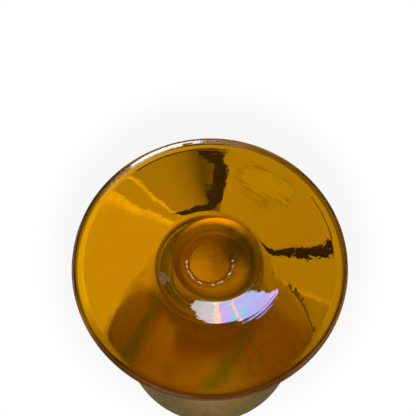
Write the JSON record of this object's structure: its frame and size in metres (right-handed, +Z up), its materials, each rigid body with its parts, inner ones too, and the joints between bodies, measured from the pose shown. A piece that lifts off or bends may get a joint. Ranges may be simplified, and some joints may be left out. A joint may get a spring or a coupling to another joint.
{
  "type": "footed glass vase",
  "caption": "Footed amber art glass vase: blown body that widens from its stem to a belly, with a drawn-in neck and flared lip, on a wide disc foot with a kicked-up centre, to hold cut flowers.",
  "frame": {"origin": "on the vase's axis, on the plane that the foot stands on", "axes": "+Z up along the axis from the foot to the lip; X and Y are any two directions across"},
  "size_m": [0.1, 0.1, 0.186],
  "materials": {
    "body_glass": "fire-polished amber glass with an iridescent film",
    "wafer_glass": "fire-polished amber glass",
    "foot_glass": "tooled amber glass with an iridescent film",
    "scar_glass": "broken, unpolished glass"
  },
  "bodies": {
    "root": {"body": "body_glass", "wafer": "wafer_glass", "foot": "foot_glass", "pontil_scar": "scar_glass"}
  },
  "joints": []
}
